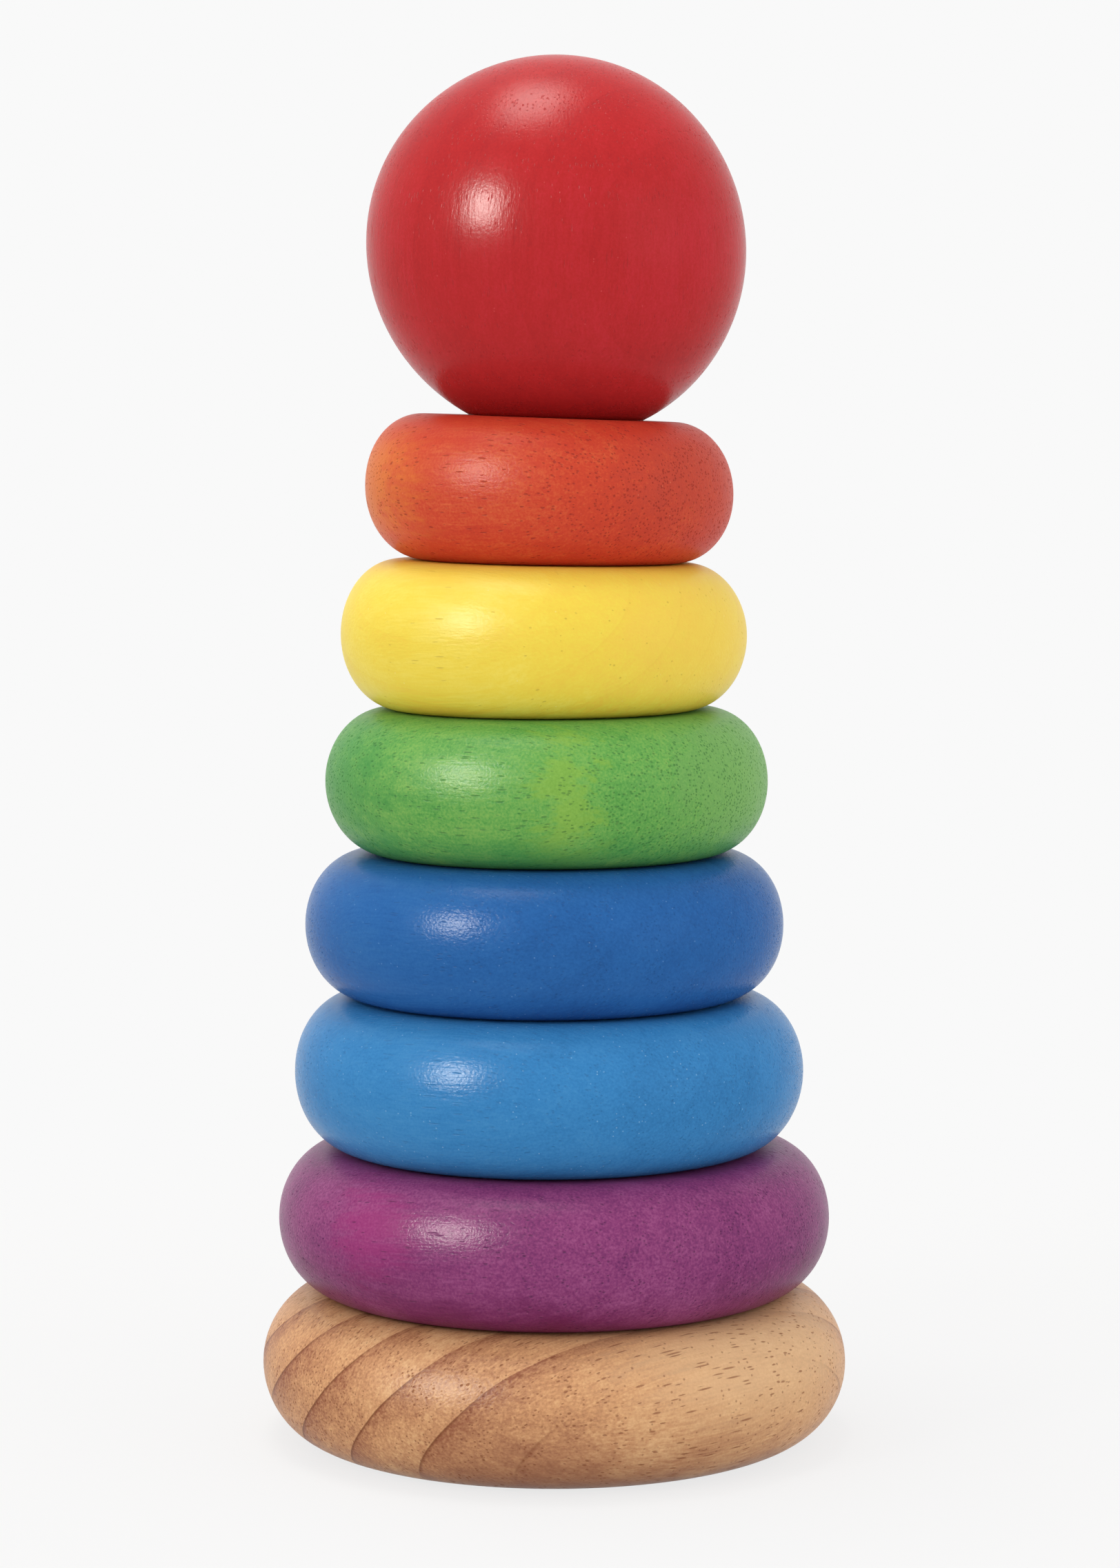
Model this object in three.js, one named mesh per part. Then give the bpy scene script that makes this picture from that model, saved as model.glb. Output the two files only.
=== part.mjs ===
// A wooden ring stacker: a round base with a glued-in peg, six loose rings that get smaller towards the
// top, and a ball that caps the peg. Sizes are in millimetres and +Z is up. The origin is the centre of
// the base's flat underside.
import * as THREE from "three";

// Base: a disc of bare wood with a fully rounded edge and a blind socket for the peg.
const baseDiameter = 90;
const baseThickness = 23;
const baseEdgeDepth = 10.5; // how far the rounded edge reaches in from the widest line
const socketDepth = 15;
const socketChamfer = 1;
const baseColour = 0xc6946e;

// Peg: a dowel with a chamfered foot and a domed tip.
const pegDiameter = 15;
const pegReach = 17; // how far the tip stands above the top ring
const pegDomeHeight = 5;
const pegFootChamfer = 1;
const glueGap = 0.15; // glue between the peg and its socket
const pegColour = 0xcb9f78;

// Rings, from the bottom up: the outside diameter and the thickness of each.
const purpleDiameter = 85;
const purpleThickness = 22;
const skyBlueDiameter = 78.25;
const skyBlueThickness = 23.25;
const darkBlueDiameter = 73.5;
const darkBlueThickness = 22;
const greenDiameter = 67.75;
const greenThickness = 22;
const yellowDiameter = 62;
const yellowThickness = 22.5;
const orangeDiameter = 56.25;
const orangeThickness = 21.75;
const ringEdgeDepth = 9; // how far a ring's rounded edge reaches in from its widest line
const holeRounding = 1.5; // radius at the mouth of a ring's hole
const looseFit = 2.5; // clearance between the peg and every hole that drops over it
const seatGap = 0.05; // lacquer between two faces that rest on each other

// A ring hangs loose on the peg: its offset is the share of that looseness by which it rests to one side,
// along X.
const rings = [
  {
    name: "purple_ring",
    diameter: purpleDiameter,
    thickness: purpleThickness,
    offset: 0,
    colour: 0x8a4475,
  },
  {
    name: "sky_blue_ring",
    diameter: skyBlueDiameter,
    thickness: skyBlueThickness,
    offset: -0.35,
    colour: 0x3e81ba,
  },
  {
    name: "dark_blue_ring",
    diameter: darkBlueDiameter,
    thickness: darkBlueThickness,
    offset: -0.6,
    colour: 0x2f65a1,
  },
  {
    name: "green_ring",
    diameter: greenDiameter,
    thickness: greenThickness,
    offset: -0.45,
    colour: 0x6ea857,
  },
  {
    name: "yellow_ring",
    diameter: yellowDiameter,
    thickness: yellowThickness,
    offset: -0.65,
    colour: 0xf2d759,
  },
  {
    name: "orange_ring",
    diameter: orangeDiameter,
    thickness: orangeThickness,
    offset: -0.3,
    colour: 0xcc503a,
  },
];

// Ball: nearly round, with a flat seat turned on its underside and a blind hole above it.
const ballDiameter = 57.5;
const ballHeight = 54.5; // from the seat to the crown
const ballSeatDiameter = 26.5;
const ballHoleChamfer = 1;
const ballHeadroom = 3; // free space above the peg's tip inside the ball
const ballOffset = 0.1;
const ballColour = 0xb53233;

// Finish and fineness of the turned surfaces.
const lacquerRoughness = 0.4;
const bareRoughness = 0.55;
const turnedSides = 48;
const edgeSteps = 10;
const roundingSteps = 2;
const domeSteps = 5;
const ballLowerSteps = 6;
const ballUpperSteps = 9;

const quarterTurn = Math.PI / 2;
const halfTurn = Math.PI;
const looseHoleRadius = pegDiameter / 2 + looseFit;

function point(radius, height) {
  return new THREE.Vector2(radius, height);
}

// Points on an ellipse round (radius, height), counterclockwise from one angle to another.
function arc(radius, height, radiusReach, heightReach, start, end, steps) {
  const curve = new THREE.EllipseCurve(radius, height, radiusReach, heightReach, start, end);
  return curve.getPoints(steps);
}

// A piece turned about the Z axis from its half section, which runs counterclockwise.
function turned(name, section, colour, roughness) {
  const geometry = new THREE.LatheGeometry(section, turnedSides);
  geometry.rotateX(quarterTurn);
  const material = new THREE.MeshStandardMaterial({ color: colour, roughness, metalness: 0 });
  const mesh = new THREE.Mesh(geometry, material);
  mesh.name = name;
  return mesh;
}

// The outer edge of a disc: half an ellipse from the underside to the top.
function discEdge(diameter, thickness, edgeDepth) {
  const flatRadius = diameter / 2 - edgeDepth;
  const middle = thickness / 2;
  return arc(flatRadius, middle, edgeDepth, middle, -quarterTurn, quarterTurn, edgeSteps);
}

function makeBase() {
  const socketRadius = pegDiameter / 2 + glueGap;
  const socketFloor = baseThickness - socketDepth;
  const section = [
    point(0, 0),
    ...discEdge(baseDiameter, baseThickness, baseEdgeDepth),
    point(socketRadius + socketChamfer, baseThickness),
    point(socketRadius, baseThickness - socketChamfer),
    point(socketRadius, socketFloor),
    point(0, socketFloor),
  ];
  return turned("base", section, baseColour, bareRoughness);
}

function makePeg(length) {
  const radius = pegDiameter / 2;
  const section = [
    point(0, 0),
    point(radius - pegFootChamfer, 0),
    point(radius, pegFootChamfer),
    ...arc(0, length - pegDomeHeight, radius, pegDomeHeight, 0, quarterTurn, domeSteps),
  ];
  return turned("peg", section, pegColour, bareRoughness);
}

function makeRing({ name, diameter, thickness, colour }) {
  const mouth = looseHoleRadius + holeRounding;
  const upperMouth = thickness - holeRounding;
  const section = [
    ...discEdge(diameter, thickness, ringEdgeDepth),
    ...arc(mouth, upperMouth, holeRounding, holeRounding, quarterTurn, halfTurn, roundingSteps),
    ...arc(mouth, holeRounding, holeRounding, holeRounding, halfTurn, halfTurn + quarterTurn, roundingSteps),
  ];
  section.push(section[0].clone());
  return turned(name, section, colour, lacquerRoughness);
}

// The ball is an ellipsoid cut off at its seat: the crown's reach above its widest line follows from the
// height that is left.
function makeBall() {
  const radius = ballDiameter / 2;
  const seatAngle = -Math.acos(ballSeatDiameter / ballDiameter);
  const crownReach = ballHeight / (1 - Math.sin(seatAngle));
  const widestHeight = ballHeight - crownReach;
  const holeDepth = pegReach + ballHeadroom;
  const section = [
    point(0, holeDepth),
    point(looseHoleRadius, holeDepth),
    point(looseHoleRadius, ballHoleChamfer),
    point(looseHoleRadius + ballHoleChamfer, 0),
    ...arc(0, widestHeight, radius, crownReach, seatAngle, 0, ballLowerSteps),
    ...arc(0, widestHeight, radius, crownReach, 0, quarterTurn, ballUpperSteps).slice(1),
  ];
  return turned("red_ball", section, ballColour, lacquerRoughness);
}

const ringStacker = new THREE.Group();
ringStacker.add(makeBase());

let seatHeight = baseThickness + seatGap;
for (const ring of rings) {
  const mesh = makeRing(ring);
  mesh.position.set(ring.offset * looseFit, 0, seatHeight);
  ringStacker.add(mesh);
  seatHeight += ring.thickness + seatGap;
}

const ball = makeBall();
ball.position.set(ballOffset * looseFit, 0, seatHeight);
ringStacker.add(ball);

const pegFoot = baseThickness - socketDepth + glueGap;
const peg = makePeg(seatHeight + pegReach - pegFoot);
peg.position.z = pegFoot;
ringStacker.add(peg);

export default ringStacker;
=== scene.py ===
import math

import bpy
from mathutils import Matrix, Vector, noise


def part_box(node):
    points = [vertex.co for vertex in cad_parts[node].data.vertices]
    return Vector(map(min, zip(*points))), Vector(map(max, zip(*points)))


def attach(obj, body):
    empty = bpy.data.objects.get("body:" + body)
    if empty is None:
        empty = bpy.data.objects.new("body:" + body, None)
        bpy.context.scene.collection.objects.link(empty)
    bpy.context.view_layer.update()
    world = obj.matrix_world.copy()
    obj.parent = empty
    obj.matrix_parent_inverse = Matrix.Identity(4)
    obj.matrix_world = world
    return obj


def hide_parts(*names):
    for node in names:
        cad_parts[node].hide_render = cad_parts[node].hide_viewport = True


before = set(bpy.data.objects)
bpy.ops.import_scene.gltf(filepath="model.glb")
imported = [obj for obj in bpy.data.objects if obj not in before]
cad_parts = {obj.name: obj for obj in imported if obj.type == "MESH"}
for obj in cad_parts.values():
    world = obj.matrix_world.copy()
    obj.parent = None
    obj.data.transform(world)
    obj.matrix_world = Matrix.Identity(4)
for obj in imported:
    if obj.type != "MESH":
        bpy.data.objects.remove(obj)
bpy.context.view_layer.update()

print("frame loaded:", ", ".join(sorted(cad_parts)))

mm = 0.001  # the scene is in metres, the sizes below in millimetres


# shader sockets and node trees

class Wire:  # one output socket; operators on it add Math nodes
    def __init__(self, finish, socket):
        self.finish = finish
        self.socket = socket

    def maths(self, operation, first, second=0.0):
        return self.finish.node("Math", {"operation": operation}, {0: first, 1: second})

    def __add__(self, other):
        return self.maths("ADD", self, other)

    def __radd__(self, other):
        return self.maths("ADD", other, self)

    def __sub__(self, other):
        return self.maths("SUBTRACT", self, other)

    def __rsub__(self, other):
        return self.maths("SUBTRACT", other, self)

    def __mul__(self, other):
        return self.maths("MULTIPLY", self, other)

    def __rmul__(self, other):
        return self.maths("MULTIPLY", other, self)

    def __truediv__(self, other):
        return self.maths("DIVIDE", self, other)

    def __rtruediv__(self, other):
        return self.maths("DIVIDE", other, self)

    def __pow__(self, other):
        return self.maths("POWER", self, other)

    def __rpow__(self, other):
        return self.maths("POWER", other, self)

    def __lt__(self, other):
        return self.maths("LESS_THAN", self, other)

    def __abs__(self):
        return self.maths("ABSOLUTE", self)

    def out(self, name):  # another output of the same node
        return Wire(self.finish, self.socket.node.outputs[name])


class Finish:  # a node tree, of a material or of the world
    def __init__(self, owner):
        owner.use_nodes = True
        self.owner = owner
        self.tree = owner.node_tree
        self.tree.nodes.clear()

    def node(self, kind, settings, sockets, output=0):
        made = self.tree.nodes.new("ShaderNode" + kind)
        for key, value in settings.items():
            if key == "stops":
                self.setStops(made.color_ramp, value)
            else:
                setattr(made, key, value)
        for key, value in sockets.items():
            if isinstance(value, Wire):
                self.tree.links.new(value.socket, made.inputs[key])
            else:
                made.inputs[key].default_value = value
        return Wire(self, made.outputs[output]) if made.outputs else None

    def setStops(self, ramp, stops):
        while len(ramp.elements) < len(stops):
            ramp.elements.new(1.0)
        for element, (position, colour) in zip(ramp.elements, stops):
            element.position = position
            element.color = colour

    def step(self, value, low, high):  # 0 below low, 1 above high, smooth between; low may be the larger
        sockets = {"Value": value, "From Min": low, "From Max": high, "To Min": 0.0, "To Max": 1.0}
        return self.node("MapRange", {"interpolation_type": "SMOOTHSTEP"}, sockets)

    def mix(self, share, first, second):  # of colours
        return self.node("Mix", {"data_type": "RGBA"}, {0: share, 6: first, 7: second}, 2)

    def vector(self, operation, first, second, output=0):
        return self.node("VectorMath", {"operation": operation}, {0: first, 1: second}, output)

    def dot(self, first, second):
        return self.vector("DOT_PRODUCT", first, second, "Value")

    def join(self, x, y, z):
        return self.node("CombineXYZ", {}, {0: x, 1: y, 2: z})

    def scaled(self, place, factor):
        return self.vector("MULTIPLY", place, (factor, factor, factor))

    def cloud(self, place, detail):  # soft noise, about 0 to 1
        sockets = {"Vector": place, "Scale": 1.0, "Detail": detail, "Roughness": wood["noiseRoughness"]}
        return self.node("TexNoise", {}, sockets)


def tint(red, green, blue):  # an sRGB colour as a linear one
    def toLinear(level):
        share = level / 255
        return share / 12.92 if share <= 0.04045 else ((share + 0.055) / 1.055) ** 2.4

    return (toLinear(red), toLinear(green), toLinear(blue), 1.0)


# turned shapes

turning = {
    "sides": 160,
    "edgeSteps": 44,  # points along each curve of a section
    "roundSteps": 8,
    "domeSteps": 12,
    "ballSteps": 60,
    "onAxis": 1e-6,  # mm; a point nearer to the axis is on it
    "mouthDepth": 2.0,  # mm above the seat within which the solid's hole is measured
    "wobbleScale": 0.03,  # bumps of an untrue rim, per mm
}


def arc(radius, height, reach, rise, start, end, steps):  # points of an ellipse, angles in degrees
    points = []
    for i in range(steps + 1):
        angle = math.radians(start + (end - start) * i / steps)
        points.append((radius + reach * math.cos(angle), height + rise * math.sin(angle)))
    return points


def discEdge(diameter, thickness, edgeDepth):
    flat = diameter / 2 - edgeDepth
    return arc(flat, thickness / 2, edgeDepth, thickness / 2, -90, 90, turning["edgeSteps"])


def turnedMesh(name, section, closed, reshape):  # section in mm, counterclockwise, from the axis or closed
    verts, faces, rings = [], [], []
    for radius, height in section:
        if radius < turning["onAxis"]:
            rings.append([len(verts)])
            verts.append(reshape(0.0, 0.0, height))
            continue
        rings.append(list(range(len(verts), len(verts) + turning["sides"])))
        for i in range(turning["sides"]):
            angle = 2 * math.pi * i / turning["sides"]
            verts.append(reshape(radius * math.cos(angle), radius * math.sin(angle), height))
    pairs = list(zip(rings, rings[1:]))
    if closed:
        pairs.append((rings[-1], rings[0]))
    for low, high in pairs:
        for i in range(turning["sides"]):
            j = (i + 1) % turning["sides"]
            if len(low) == 1:
                faces.append((low[0], high[j], high[i]))
            elif len(high) == 1:
                faces.append((low[i], low[j], high[0]))
            else:
                faces.append((low[i], low[j], high[j], high[i]))
    mesh = bpy.data.meshes.new(name)
    mesh.from_pydata([Vector(v) * mm for v in verts], [], faces)
    mesh.polygons.foreach_set("use_smooth", [True] * len(mesh.polygons))
    mesh.update()
    return mesh


def reshaper(look, height, axis):  # faults of hand turning: sloping faces and an untrue rim
    lower = math.tan(math.radians(look["lowerSlope"]))
    upper = math.tan(math.radians(look["upperSlope"]))
    drift = Vector(look["seed"])

    def reshape(x, y, z):
        share = min(max(z / height, 0.0), 1.0)
        belly = math.sin(math.pi * share) ** 2
        wobble = noise.noise(Vector((x, y, z)) * turning["wobbleScale"] + drift) * look["wobble"] * belly
        radius = math.hypot(x, y)
        if radius > look["trueRadius"]:  # holes and sockets stay true
            x += wobble * x / radius
            y += wobble * y / radius
        slope = lower + (upper - lower) * share
        return (x, y, z - (x + axis) * slope)

    return reshape


def dress(look, section, closed, height, axis, seat):
    mesh = turnedMesh(look["piece"], section, closed, reshaper(look, height, axis))
    mesh.materials.append(woodFinish(look))
    piece = bpy.data.objects.new(look["piece"], mesh)
    piece.location = (axis * mm, 0.0, seat * mm)
    bpy.context.scene.collection.objects.link(piece)
    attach(piece, look["body"])
    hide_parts(look["node"])


# wood

wood = {
    "noiseRoughness": 0.55,
    "noiseMiddle": 0.5,
    "softDetail": 2.0,
    "grainDetail": 3.0,
    "streakDetail": 4.0,
    "bendScale": 0.05,  # these four are per mm
    "waverScale": 0.035,
    "mottleScale": 0.06,
    "skinScale": 2.6,
    "bendAcross": 1.5,  # mm that a bent fibre strays
    "bendUp": 1.2,
    "fineSize": (5.0, 0.4),  # length and breadth of the finest fibres, mm
    "streakSize": (26.0, 1.9),
    "lineLead": 0.3,  # share of a growth line's width that lies before its dark edge
    "lineFacing": (0.45, 0.85),  # growth lines show towards end grain
    "lineFade": (3.0, 1.0),  # mm past the last ring
    "shadeFade": (4.0, -8.0),
    "shadePower": 2.6,
    "smallestPore": 0.4,
    "poreEdge": (1.15, 0.6),
    "evenFacing": 0.6,  # where end grain is neither darker nor lighter
    "patchMottle": 0.8,
    "patchFibres": 0.5,
    "patchEdge": (1.1, 0.2),
    "speckCore": 0.5,
    "streakRough": 0.1,
    "poreRough": 0.4,
}


def grainFrame(grain):  # directions along the fibres, across them and up
    turn, tilt = math.radians(grain["turn"]), math.radians(grain["tilt"])
    fibre = (math.sin(turn) * math.cos(tilt), -math.cos(turn) * math.cos(tilt), math.sin(tilt))
    side = (math.cos(turn), math.sin(turn), 0.0)
    return fibre, side, tuple(Vector(fibre).cross(Vector(side)))


def stretched(finish, spot, length, breadth):  # a place in cells that are long along the fibres
    along, across, up = spot
    return finish.join(along / length, across / breadth, up / breadth)


def stainAndShadePatch(place, reach, ragged, share, colour):  # a patch of another colour, in mm: on some pieces stain that took differently, on others painted shade or a painted reflection, as marked in each list
    return {"place": place, "reach": reach, "ragged": ragged, "share": share, "colour": colour}


def growthRings(finish, growth, sideways, upward, waver, facing):  # dark lines, and the shade after each
    fromPith = (sideways * sideways + upward * upward) ** 0.5 + waver * growth["waver"]
    turns = (fromPith - growth["first"]) / growth["spacing"]
    year = turns.maths("FRACT", turns)
    after = finish.step(year * growth["spacing"], growth["lineWidth"], 0.0)
    before = finish.step((1 - year) * growth["spacing"], growth["lineWidth"] * wood["lineLead"], 0.0)
    lineEnd = [growth["last"] + fade for fade in wood["lineFade"]]
    shadeEnd = [growth["last"] + fade for fade in wood["shadeFade"]]
    shown = finish.step(fromPith, *lineEnd) * finish.step(facing, *wood["lineFacing"])
    line = after.maths("MAXIMUM", after, before) * shown
    return line, (1 - year) ** wood["shadePower"] * finish.step(fromPith, *shadeEnd)


def openPores(finish, pore, spot, facing):  # 1 inside the cut vessels
    cells = stretched(finish, spot, pore["length"], pore["pitch"])
    nearest = finish.node("TexVoronoi", {"feature": "F1"}, {"Vector": cells, "Scale": 1.0})
    luck = finish.node("SeparateColor", {}, {"Color": nearest.out("Color")})
    amount = pore["endAmount"] + (pore["sideAmount"] - pore["endAmount"]) * (1 - facing) ** 2
    width = pore["size"] * (wood["smallestPore"] + luck.out("Green")) * (1 + facing * pore["endSwell"])
    return finish.step(nearest / width, *wood["poreEdge"]) * (luck < amount)


def woodFinish(look):
    finish = Finish(bpy.data.materials.new(look["slot"]))
    fibre, side, rise = grainFrame(look["grain"])
    growth, pore, speckAndGlint = look["growth"], look["pores"], look["specksAndGlints"]
    middle = wood["noiseMiddle"]

    coordinates = finish.node("TexCoord", {}, {}, "Object")
    place = finish.scaled(coordinates, 1 / mm)
    facing = abs(finish.dot(coordinates.out("Normal"), fibre))  # 1 on end grain, 0 on side grain
    shifted = finish.vector("ADD", place, look["seed"])
    bend = finish.cloud(finish.scaled(shifted, wood["bendScale"]), wood["softDetail"]) - middle
    across = finish.dot(shifted, side) + bend * wood["bendAcross"]
    up = finish.dot(shifted, rise) + bend * wood["bendUp"]
    spot = (finish.dot(shifted, fibre), across, up)

    # growth rings round a far pith: a thin dark line, then a shade that fades out to the next one
    sideways = finish.dot(place, side) - growth["pith"][0]
    upward = finish.dot(place, rise) - growth["pith"][1]
    waver = finish.cloud(finish.scaled(shifted, wood["waverScale"]), wood["softDetail"]) - middle
    ringLine, ringShade = growthRings(finish, growth, sideways, upward, waver, facing)

    # fibres and streaks along them, clouds of stain, the skin's fine grain and the open pores
    fine = finish.cloud(stretched(finish, spot, *wood["fineSize"]), wood["grainDetail"])
    streak = finish.cloud(stretched(finish, spot, *wood["streakSize"]), wood["streakDetail"])
    mottle = finish.cloud(finish.scaled(shifted, wood["mottleScale"]), wood["grainDetail"])
    skin = finish.cloud(finish.scaled(shifted, wood["skinScale"]), wood["softDetail"])
    inPore = openPores(finish, pore, spot, facing)

    # stain from pale to deep, then patches (stain that took differently, painted shade and painted
    # reflection), growth lines, pores and specks
    tone = middle + (streak - middle) * look["streaks"] + (mottle - middle) * look["mottle"]
    tone = tone + (fine - middle) * look["fibres"] + (skin - middle) * look["speckle"]
    tone = tone - (facing - wood["evenFacing"]) * look["endDepth"] - ringShade * growth["shade"]
    stops = [(0.0, look["deep"]), (0.5, look["full"]), (1.0, look["pale"])]
    colour = finish.node("ValToRGB", {"stops": stops}, {"Fac": tone})
    # each patch mixes in its colour; a piece's list marks which are painted shade or painted reflection
    for patch in look["patches"]:
        away = finish.vector("DIVIDE", finish.vector("SUBTRACT", place, patch["place"]), patch["reach"])
        ragged = (mottle - middle) * wood["patchMottle"] + (streak - middle) * patch["ragged"]
        ragged = ragged + (fine - middle) * (patch["ragged"] * wood["patchFibres"])
        distance = finish.vector("LENGTH", away, (0.0, 0.0, 0.0), "Value") + ragged
        mask = finish.step(distance, *wood["patchEdge"]) * patch["share"]
        colour = finish.mix(mask, colour, patch["colour"])
    colour = finish.mix(ringLine * growth["line"], colour, growth["colour"])
    colour = finish.mix(inPore * pore["share"], colour, pore["colour"])
    # specks: dark ones are pores; light ones stand for filled pores and dust, and partly for painted glints
    dots = finish.node("TexVoronoi", {"feature": "F1"}, {"Vector": shifted, "Scale": 1 / speckAndGlint["pitch"]})
    chance = finish.node("SeparateColor", {}, {"Color": dots.out("Color")})
    inSpeckAndGlint = finish.step(dots, speckAndGlint["size"], speckAndGlint["size"] * wood["speckCore"]) * (chance < speckAndGlint["amount"])
    colour = finish.mix(inSpeckAndGlint * speckAndGlint["share"], colour, speckAndGlint["colour"])

    # relief in mm: the lacquer's fine texture, raised fibres and sunk pores
    relief = skin * look["skin"] + fine * look["fibreRelief"]
    relief = relief - inPore * look["poreDepth"] + dots * look["peel"]
    bump = finish.node("Bump", {}, {"Strength": 1.0, "Distance": mm, "Height": relief})
    rough = look["rough"] + (streak - middle) * wood["streakRough"] + inPore * wood["poreRough"]
    sockets = {"Base Color": colour, "Roughness": rough, "Normal": bump, "IOR": look["ior"]}
    surface = finish.node("BsdfPrincipled", {}, sockets)
    finish.node("OutputMaterial", {}, {"Surface": surface})
    return finish.owner


def withDefaults(look):  # what the lacquered pieces share, overruled by each one's own dictionary
    shared = {
        "lowerSlope": 0.0,  # degrees, falling towards +X
        "upperSlope": 0.0,
        "wobble": 0.22,  # mm, as are the other lengths of a piece
        "trueRadius": 12.0,
        "streaks": 0.5,
        "mottle": 0.7,
        "fibres": 0.5,
        "endDepth": 0.15,
        "patches": [],
        "rough": 0.3,
        "ior": 1.2,
        "skin": 0.05,
        "speckle": 0.5,
        "fibreRelief": 0.06,
        "poreDepth": 0.05,
        "peel": 0.01,
    }
    return {**shared, **look}


def boxOf(node):  # axis, seat height, diameter and height of a CAD node, in mm
    low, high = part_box(node)
    low, high = low / mm, high / mm
    return (low.x + high.x) / 2, low.z, high.x - low.x, high.z - low.z


def holeOf(node):  # radius of the hole in a CAD node's underside, in mm
    axis, seat = boxOf(node)[:2]
    places = [v.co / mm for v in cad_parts[node].data.vertices]
    return min(math.hypot(p.x - axis, p.y) for p in places if p.z < seat + turning["mouthDepth"])


# base and peg

base = withDefaults({
    "piece": "turned_base",
    "node": "base",
    "body": "base",
    "slot": "bare_wood",
    "seed": (31.0, -12.0, 7.0),
    "edgeDepth": 10.5,
    "glue": 0.15,
    "socketChamfer": 1.0,
    "deep": tint(152, 94, 68),
    "full": tint(211, 158, 113),
    "pale": tint(240, 200, 150),
    "grain": {"turn": -56.7, "tilt": -4.1},
    "growth": {
        "pith": (-80.6, 101.7),
        "first": 112.3,
        "last": 148.0,
        "spacing": 8.9,
        "waver": 1.6,
        "lineWidth": 0.5,
        "line": 0.75,
        "shade": 0.38,
        "colour": tint(120, 68, 42),
    },
    "pores": {
        "length": 5.5,
        "pitch": 0.52,
        "size": 0.225,
        "endSwell": 0.3,
        "sideAmount": 0.85,
        "endAmount": 0.45,
        "share": 0.64,
        "colour": tint(132, 74, 48),
    },
    "specksAndGlints": {"pitch": 1.2, "size": 0.2, "amount": 0.7, "share": 0.52, "colour": tint(130, 74, 48)},
    "ior": 1.17,
    "rough": 0.36,
    "fibres": 0.8,
    "patches": [
        stainAndShadePatch((34.0, -26.0, 20.0), (34.0, 34.0, 15.0), ragged=0.8, share=0.6, colour=tint(230, 192, 148)),
        # painted shade: darker along the lower front edge
        stainAndShadePatch((0.0, -38.0, -4.0), (60.0, 30.0, 17.0), ragged=0.4, share=0.8, colour=tint(150, 98, 75)),
    ],
})


def makeBase(look):
    axis, seat, diameter, thickness = boxOf(look["node"])
    pegFoot, pegDiameter = boxOf("peg")[1:3]
    socket = pegDiameter / 2 + look["glue"]
    floor = pegFoot - look["glue"] - seat
    section = [(0.0, 0.0)] + discEdge(diameter, thickness, look["edgeDepth"])
    section += [(socket + look["socketChamfer"], thickness), (socket, thickness - look["socketChamfer"])]
    section += [(socket, floor), (0.0, floor)]
    dress(look, section, False, thickness, axis, seat)


peg = withDefaults({
    "piece": "turned_peg",
    "node": "peg",
    "body": "base",
    "slot": "peg_wood",
    "seed": (5.0, 44.0, -20.0),
    "wobble": 0.0,
    "domeHeight": 5.0,
    "lengthSteps": 12,
    "footChamfer": 1.0,
    "deep": tint(172, 120, 84),
    "full": tint(208, 164, 122),
    "pale": tint(230, 196, 152),
    "grain": {"turn": 0.0, "tilt": 90.0},
    "growth": {
        "pith": (60.0, 20.0),
        "first": 3.0,
        "last": 120.0,
        "spacing": 4.5,
        "waver": 1.5,
        "lineWidth": 0.4,
        "line": 0.4,
        "shade": 0.3,
        "colour": tint(140, 88, 56),
    },
    "pores": {
        "length": 6.5,
        "pitch": 0.5,
        "size": 0.24,
        "endSwell": 0.0,
        "sideAmount": 0.8,
        "endAmount": 0.08,
        "share": 0.65,
        "colour": tint(124, 74, 48),
    },
    "specksAndGlints": {"pitch": 1.6, "size": 0.1, "amount": 0.1, "share": 0.3, "colour": tint(240, 214, 180)},
    "rough": 0.5,
})


def makePeg(look):
    axis, foot, diameter, length = boxOf(look["node"])
    radius = diameter / 2
    section = [(0.0, 0.0), (radius - look["footChamfer"], 0.0), (radius, look["footChamfer"])]
    steps = look["lengthSteps"]
    section += [(radius, length * i / steps) for i in range(1, steps - 1)]
    section += arc(0.0, length - look["domeHeight"], radius, look["domeHeight"], 0, 90, turning["domeSteps"])
    dress(look, section, False, length, axis, foot)


makeBase(base)
makePeg(peg)
print("base and peg turned")


# rings, from the bottom up

stainPores = {
    "length": 4.5,
    "pitch": 0.42,
    "size": 0.2,
    "endSwell": 0.6,
    "sideAmount": 0.4,
    "endAmount": 0.45,
    "share": 0.4,
}
faintGrowth = {
    "pith": (-70.0, 60.0),
    "first": 2.0,
    "last": 400.0,
    "spacing": 7.5,
    "waver": 3.0,
    "lineWidth": 0.5,
    "line": 0.03,
    "shade": 0.03,
}
ringEdge = {"edgeDepth": 9.0, "holeRounding": 1.5}

purpleRing = withDefaults({
    **ringEdge,
    "piece": "turned_purple_ring",
    "node": "purple_ring",
    "body": "purple_ring",
    "slot": "purple_stain",
    "seed": (-40.0, 8.0, 15.0),
    "deep": tint(96, 39, 90),
    "full": tint(135, 60, 113),
    "pale": tint(161, 86, 135),
    "grain": {"turn": 62.0, "tilt": 3.0},
    "growth": {**faintGrowth, "colour": tint(84, 32, 76)},
    "pores": {**stainPores, "share": 0.5, "colour": tint(64, 24, 66)},
    "patches": [
        stainAndShadePatch((-27.0, -31.0, 15.0), (9.0, 12.0, 9.0), ragged=1.8, share=0.45, colour=tint(169, 52, 121)),
        # painted shade along the bottom edge, with a redder purple there
        stainAndShadePatch((0.0, 0.0, -1.0), (75.0, 75.0, 13.0), ragged=0.5, share=0.9, colour=tint(108, 32, 75)),
    ],
    "ior": 1.17,
    "skin": 0.06,
    "speckle": 1.3,
    "specksAndGlints": {"pitch": 1.1, "size": 0.14, "amount": 0.12, "share": 0.35, "colour": tint(190, 120, 160)},
})

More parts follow.
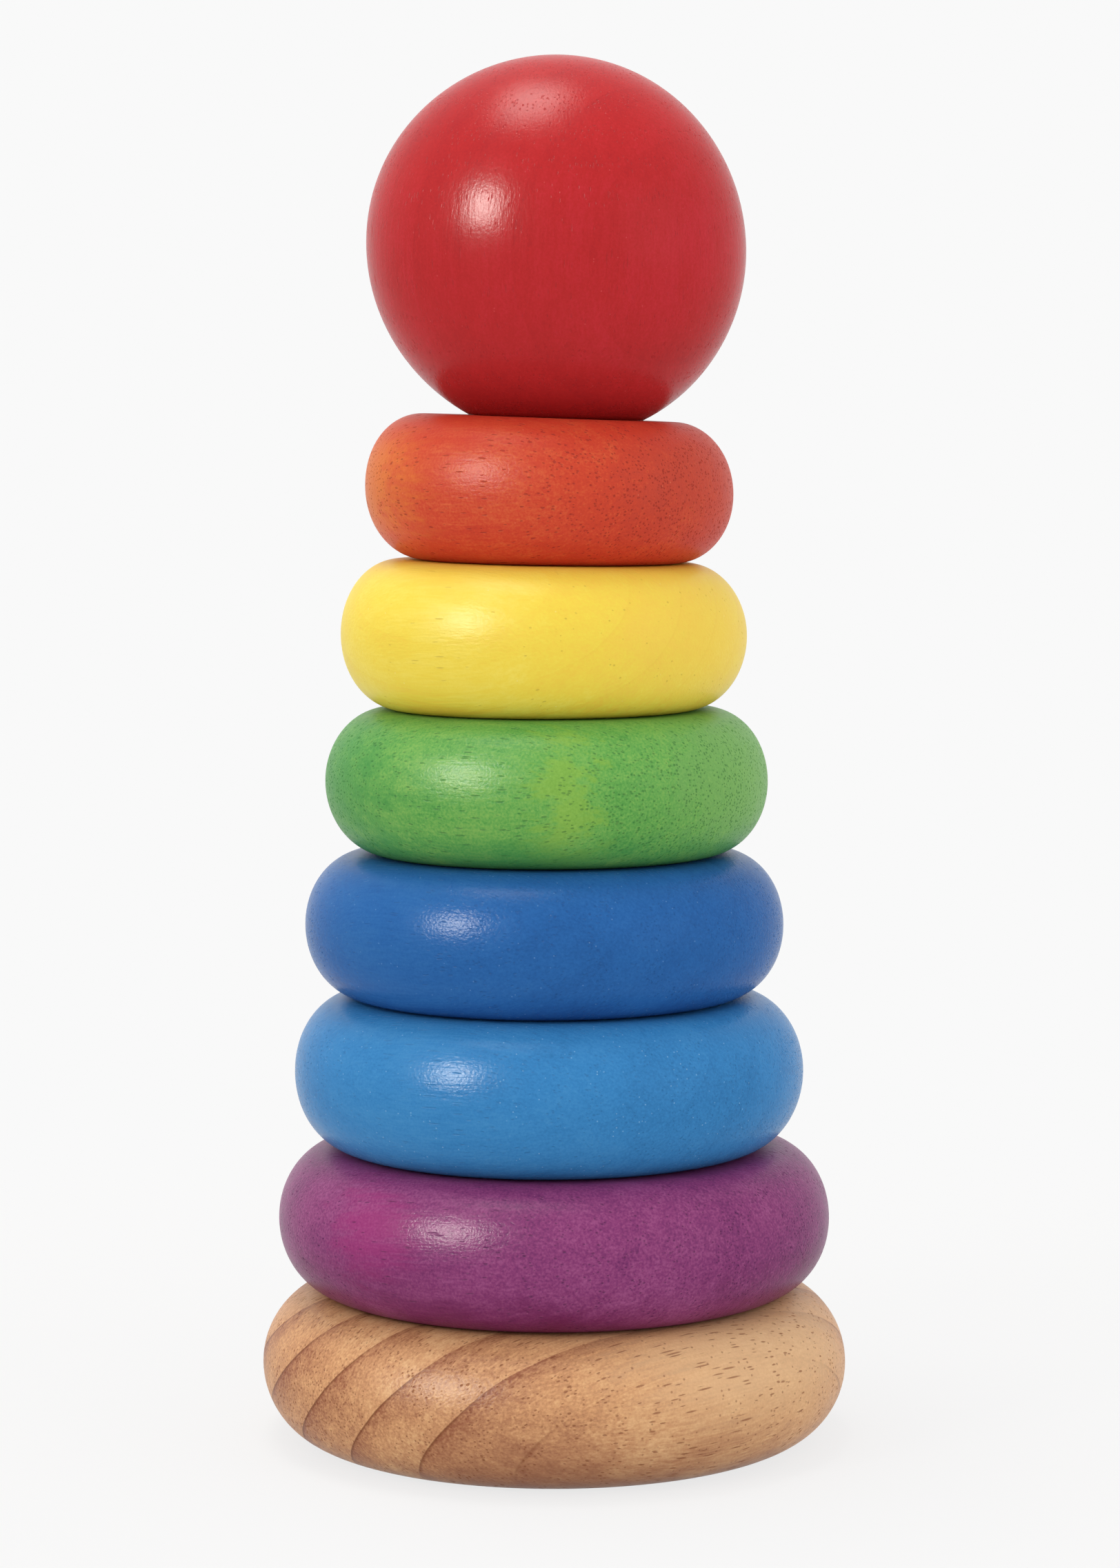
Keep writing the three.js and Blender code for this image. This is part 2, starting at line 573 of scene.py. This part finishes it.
skyBlueRing = withDefaults({
    **ringEdge,
    "piece": "turned_sky_blue_ring",
    "node": "sky_blue_ring",
    "body": "sky_blue_ring",
    "slot": "sky_blue_stain",
    "seed": (14.0, 27.0, -33.0),
    "deep": tint(43, 105, 161),
    "full": tint(58, 131, 191),
    "pale": tint(78, 148, 201),
    "grain": {"turn": 62.0, "tilt": 0.0},
    "growth": {**faintGrowth, "line": 0.04, "shade": 0.06, "colour": tint(30, 84, 140)},
    "pores": {**stainPores, "share": 0.15, "colour": tint(24, 76, 134)},
    "mottle": 0.45,
    "streaks": 0.3,
    "patches": [
        # painted shade along the bottom edge
        stainAndShadePatch((0.0, 0.0, -1.0), (70.0, 70.0, 6.0), ragged=0.4, share=0.45, colour=tint(37, 94, 149)),
    ],
    # whitish specks: partly filled pores, partly painted glints
    "specksAndGlints": {"pitch": 0.47, "size": 0.32, "amount": 0.05, "share": 0.4, "colour": tint(150, 196, 226)},
    "ior": 1.14,
    "skin": 0.03,
    "peel": 0.02,
    "rough": 0.24,
})

darkBlueRing = withDefaults({
    **ringEdge,
    "piece": "turned_dark_blue_ring",
    "node": "dark_blue_ring",
    "body": "dark_blue_ring",
    "slot": "dark_blue_stain",
    "seed": (-9.0, -50.0, 21.0),
    "deep": tint(33, 77, 137),
    "full": tint(43, 100, 167),
    "pale": tint(57, 116, 177),
    "grain": {"turn": 50.0, "tilt": 2.0},
    "growth": {**faintGrowth, "line": 0.03, "shade": 0.06, "colour": tint(22, 60, 116)},
    "pores": {**stainPores, "share": 0.15, "colour": tint(20, 56, 112)},
    "mottle": 0.45,
    "streaks": 0.25,
    "patches": [
        # painted shade along the bottom edge
        stainAndShadePatch((0.0, 0.0, -1.0), (66.0, 66.0, 6.0), ragged=0.4, share=0.5, colour=tint(34, 63, 123)),
    ],
    # whitish specks: partly filled pores, partly painted glints
    "specksAndGlints": {"pitch": 0.47, "size": 0.32, "amount": 0.04, "share": 0.3, "colour": tint(128, 172, 214)},
    "ior": 1.13,
    "skin": 0.03,
    "peel": 0.02,
    "rough": 0.24,
})

greenRing = withDefaults({
    **ringEdge,
    "piece": "turned_green_ring",
    "node": "green_ring",
    "body": "green_ring",
    "slot": "green_stain",
    "seed": (22.0, -18.0, 48.0),
    "deep": tint(59, 141, 63),
    "full": tint(102, 167, 80),
    "pale": tint(133, 183, 90),
    "grain": {"turn": 70.0, "tilt": -1.0},
    "growth": {**faintGrowth, "colour": tint(50, 110, 50)},
    "pores": {
        **stainPores,
        "length": 3.0,
        "size": 0.24,
        "endAmount": 0.8,
        "share": 0.46,
        "colour": tint(38, 100, 52),
    },
    "streaks": 0.8,
    "patches": [
        stainAndShadePatch((3.0, -33.0, 10.0), (6.0, 12.0, 15.0), ragged=3.2, share=0.45, colour=tint(157, 193, 73)),
        stainAndShadePatch((-30.0, -14.0, 10.0), (17.0, 22.0, 15.0), ragged=1.2, share=0.6, colour=tint(72, 147, 72)),
        stainAndShadePatch((28.0, -16.0, 13.0), (22.0, 22.0, 14.0), ragged=1.2, share=0.6, colour=tint(131, 179, 98)),
        # painted shade along the bottom edge, with deeper, less worn dye there
        stainAndShadePatch((0.0, 0.0, -1.0), (62.0, 62.0, 8.0), ragged=0.8, share=0.7, colour=tint(60, 142, 77)),
    ],
    "skin": 0.06,
    "speckle": 1.3,
    "specksAndGlints": {"pitch": 0.9, "size": 0.14, "amount": 0.2, "share": 0.3, "colour": tint(170, 208, 120)},
    "rough": 0.37,
})

yellowRing = withDefaults({
    **ringEdge,
    "piece": "turned_yellow_ring",
    "node": "yellow_ring",
    "body": "yellow_ring",
    "slot": "yellow_stain",
    "seed": (-27.0, 36.0, 3.0),
    "upperSlope": 0.9,
    "deep": tint(243, 201, 73),
    "full": tint(244, 217, 80),
    "pale": tint(251, 231, 110),
    "grain": {"turn": 56.0, "tilt": 1.0},
    "growth": {**faintGrowth, "line": 0.05, "shade": 0.1, "colour": tint(214, 164, 60)},
    "pores": {
        **stainPores,
        "sideAmount": 0.12,
        "endAmount": 0.05,
        "share": 0.25,
        "colour": tint(160, 116, 50),
    },
    "patches": [
        stainAndShadePatch((26.0, -16.0, 12.0), (24.0, 26.0, 18.0), ragged=0.6, share=0.5, colour=tint(247, 207, 92)),
        # painted reflection of the orange ring above, on an orange-tinted dye along the top edge
        stainAndShadePatch((0.0, 0.0, 23.0), (60.0, 60.0, 6.0), ragged=0.3, share=0.4, colour=tint(245, 199, 82)),
        # painted shade along the bottom edge, in a more orange yellow
        stainAndShadePatch((0.0, 0.0, -1.5), (58.0, 58.0, 5.0), ragged=0.8, share=0.5, colour=tint(252, 172, 62)),
    ],
    "specksAndGlints": {"pitch": 1.4, "size": 0.12, "amount": 0.1, "share": 0.3, "colour": tint(252, 240, 170)},
    "ior": 1.17,
    "skin": 0.03,
    "speckle": 0.25,
    "rough": 0.37,
})

orangeRing = withDefaults({
    **ringEdge,
    "piece": "turned_orange_ring",
    "node": "orange_ring",
    "body": "orange_ring",
    "slot": "orange_stain",
    "seed": (47.0, 11.0, -8.0),
    "lowerSlope": 0.9,
    "upperSlope": 2.0,
    "deep": tint(187, 61, 46),
    "full": tint(206, 71, 48),
    "pale": tint(219, 106, 63),
    "grain": {"turn": 60.0, "tilt": 0.0},
    "growth": {**faintGrowth, "colour": tint(164, 50, 40)},
    "pores": {
        **stainPores,
        "length": 3.0,
        "size": 0.22,
        "endAmount": 0.8,
        "share": 0.5,
        "colour": tint(134, 38, 34),
    },
    "patches": [
        stainAndShadePatch((-27.0, -8.0, 12.0), (13.0, 22.0, 15.0), ragged=1.6, share=0.85, colour=tint(225, 125, 56)),
        stainAndShadePatch((22.0, -16.0, 12.0), (16.0, 18.0, 14.0), ragged=0.8, share=0.5, colour=tint(191, 75, 59)),
        # darker and redder along the top edge, under the ball
        stainAndShadePatch((0.0, 0.0, 22.0), (52.0, 52.0, 7.0), ragged=0.6, share=0.6, colour=tint(203, 56, 41)),
        # painted shade along the bottom edge
        stainAndShadePatch((0.0, 0.0, -1.0), (52.0, 52.0, 9.0), ragged=0.6, share=0.65, colour=tint(191, 54, 41)),
    ],
    "specksAndGlints": {"pitch": 1.2, "size": 0.12, "amount": 0.12, "share": 0.3, "colour": tint(236, 150, 110)},
    "rough": 0.38,
    "ior": 1.16,
    "skin": 0.05,
    "speckle": 0.8,
})


def makeRing(look):
    axis, seat, diameter, thickness = boxOf(look["node"])
    hole, rounding = holeOf(look["node"]), look["holeRounding"]
    steps = turning["roundSteps"]
    section = discEdge(diameter, thickness, look["edgeDepth"])
    section += arc(hole + rounding, thickness - rounding, rounding, rounding, 90, 180, steps)
    section += arc(hole + rounding, rounding, rounding, rounding, 180, 270, steps)
    dress(look, section, True, thickness, axis, seat)


for ring in (purpleRing, skyBlueRing, darkBlueRing, greenRing, yellowRing, orangeRing):
    makeRing(ring)
print("rings turned")


# ball

ball = withDefaults({
    "piece": "turned_red_ball",
    "node": "red_ball",
    "body": "red_ball",
    "slot": "red_stain",
    "seed": (9.0, 61.0, 30.0),
    "lowerSlope": 2.0,
    "seatDiameter": 26.5,
    "headroom": 3.0,
    "holeChamfer": 1.0,
    "deep": tint(159, 35, 42),
    "full": tint(185, 42, 44),
    "pale": tint(205, 51, 64),
    "grain": {"turn": 0.0, "tilt": 86.0},
    "growth": {**faintGrowth, "line": 0.05, "shade": 0.08, "colour": tint(140, 28, 36)},
    "pores": {**stainPores, "sideAmount": 0.45, "share": 0.12, "colour": tint(112, 20, 28)},
    "mottle": 0.5,
    "streaks": 0.25,
    "fibres": 0.3,
    "rough": 0.25,
    "ior": 1.16,
    "skin": 0.02,
    "fibreRelief": 0.035,
    "poreDepth": 0.04,
    "patches": [
        # painted shade: the lower half of the ball darker
        stainAndShadePatch((0.0, 0.0, -2.0), (60.0, 60.0, 26.0), ragged=0.3, share=0.24, colour=tint(165, 44, 44)),
    ],
    "specksAndGlints": {"pitch": 1.2, "size": 0.12, "amount": 0.12, "share": 0.25, "colour": tint(224, 110, 110)},
})


def makeBall(look):
    axis, seat, diameter, height = boxOf(look["node"])
    hole, chamfer = holeOf(look["node"]), look["holeChamfer"]
    pegFoot, pegDiameter, pegLength = boxOf("peg")[1:]
    holeTop = pegFoot + pegLength + look["headroom"] - seat
    seatAngle = -math.degrees(math.acos(look["seatDiameter"] / diameter))
    crown = height / (1 - math.sin(math.radians(seatAngle)))  # reach above the widest line
    section = [(0.0, holeTop), (hole, holeTop), (hole, chamfer), (hole + chamfer, 0.0)]
    section += arc(0.0, height - crown, diameter / 2, crown, seatAngle, 90, turning["ballSteps"])
    dress(look, section, False, height, axis, seat)


makeBall(ball)
print("ball turned")


# floor and light

studio = {
    "white": 0.947,  # the photograph's background, linear
    "fill": 0.84,  # light from all round
    "floorTint": 0.65,  # grey of the floor where the lamps light it
    "floorLift": 0.99,  # beside the object, where the floor also takes its shadow
    "shadowShare": 0.22,  # how much of the lit floor, with its shadow, shows there
    "shadowReach": (0.10, 0.34),  # m from the peg's axis over which that shadow fades
    "floorSize": 4.0,
    "floorDrop": 0.00005,  # keeps the floor clear of the base's underside
    "target": (0.0, 0.0, 0.11),
    "lamps": [
        {
            "name": "key_softbox",
            "place": (-0.739, -0.713, 0.575),  # from where its mirror image falls on each piece
            "size": (0.28, 0.34),
            "colour": (1.0, 0.95, 0.88),
            "level": 0.16,
            "glint": 22.0,
        },
        {
            "name": "top_softbox",
            "place": (-0.16, 0.06, 1.15),
            "size": (0.5, 0.4),
            "colour": (1.0, 0.96, 0.9),
            "level": 0.4,
            "glint": 4.0,
        },
        {
            "name": "side_card",
            "place": (0.95, -0.55, 0.35),
            "size": (0.8, 0.8),
            "colour": (1.0, 1.0, 1.0),
            "level": 0.14,
            "glint": 0.0,
        },
    ],
}


def seenDirectly(finish):  # 1 for what the camera sees, straight, mirrored or through glass
    path = finish.node("LightPath", {}, {}, "Is Camera Ray")
    glossy, through = path.out("Is Glossy Ray"), path.out("Is Transmission Ray")
    return path.maths("MAXIMUM", path.maths("MAXIMUM", path, glossy), through)


def makeFloor():
    size = studio["floorSize"]
    corners = [(-size, -size, 0.0), (size, -size, 0.0), (size, size, 0.0), (-size, size, 0.0)]
    mesh = bpy.data.meshes.new("studio_floor")
    mesh.from_pydata(corners, [], [(0, 1, 2, 3)])
    floor = bpy.data.objects.new("studio_floor", mesh)
    floor.location.z = -studio["floorDrop"]
    bpy.context.scene.collection.objects.link(floor)
    finish = Finish(bpy.data.materials.new("pale_floor"))
    place = finish.node("TexCoord", {}, {}, "Object")
    distance = finish.vector("LENGTH", place, (0.0, 0.0, 0.0), "Value")
    near, far = studio["shadowReach"]
    away = finish.step(distance, near, far)
    glow = 1 - studio["shadowShare"] * (1 - away)
    tone = studio["floorTint"]
    matt = finish.node("BsdfDiffuse", {}, {"Color": (tone, tone, tone, 1.0)})
    white, lift = studio["white"], studio["floorLift"]
    beside, beyond = (lift, lift, lift, 1.0), (white, white, white, 1.0)
    bright = finish.node("Emission", {}, {"Color": finish.mix(away, beside, beyond), "Strength": 1.0})
    share = seenDirectly(finish) * glow
    surface = finish.node("MixShader", {}, {0: share, 1: matt, 2: bright})
    finish.node("OutputMaterial", {}, {"Surface": surface})
    mesh.materials.append(finish.owner)


def makeWorld():
    world = bpy.data.worlds.new("studio_world")
    bpy.context.scene.world = world
    finish = Finish(world)
    white = studio["white"]
    backdrop = finish.node("Background", {}, {"Color": (white, white, white, 1.0), "Strength": 1.0})
    fill = finish.node("Background", {}, {"Color": (1.0, 1.0, 1.0, 1.0), "Strength": studio["fill"]})
    surface = finish.node("MixShader", {}, {0: seenDirectly(finish), 1: fill, 2: backdrop})
    finish.node("OutputWorld", {}, {"Surface": surface})


def makeLamp(lamp, name, level):
    light = bpy.data.lights.new(name, "AREA")
    light.shape = "RECTANGLE"
    light.size, light.size_y = lamp["size"]
    light.color = lamp["colour"]
    aim = Vector(studio["target"]) - Vector(lamp["place"])
    light.energy = level * math.pi ** 2 * aim.length_squared  # level 1 lights white to white
    holder = bpy.data.objects.new(name, light)
    holder.location = lamp["place"]
    holder.rotation_euler = aim.to_track_quat("-Z", "Y").to_euler()
    bpy.context.scene.collection.objects.link(holder)
    return holder


makeFloor()
makeWorld()
for lamp in studio["lamps"]:
    makeLamp(lamp, lamp["name"], lamp["level"])
    if lamp["glint"] > 0:
        glint = makeLamp(lamp, lamp["name"] + "_glint", lamp["level"] * lamp["glint"])
        glint.visible_diffuse = False  # adds to the shine alone
print("studio lit")


# camera, from the photograph's fit

view = {
    "place": (0.87, -643.0, 160.0),  # mm
    "pitch": 5.256,  # degrees below level
    "focal": 6106.6,  # pixels, of an image 2274 pixels high
    "imageHeight": 2274,
    "sensor": 36.0,  # mm, along the image's long side
    "clip": (0.01, 50.0),
}


def makeCamera():
    data = bpy.data.cameras.new("photo_camera")
    data.sensor_width = view["sensor"]
    data.lens = view["sensor"] * view["focal"] / view["imageHeight"]
    data.clip_start, data.clip_end = view["clip"]
    camera = bpy.data.objects.new("photo_camera", data)
    camera.location = Vector(view["place"]) * mm
    camera.rotation_euler = (math.radians(90 - view["pitch"]), 0.0, 0.0)
    bpy.context.scene.collection.objects.link(camera)
    bpy.context.scene.camera = camera


makeCamera()
bpy.context.scene.view_settings.view_transform = "Standard"
print("camera set")
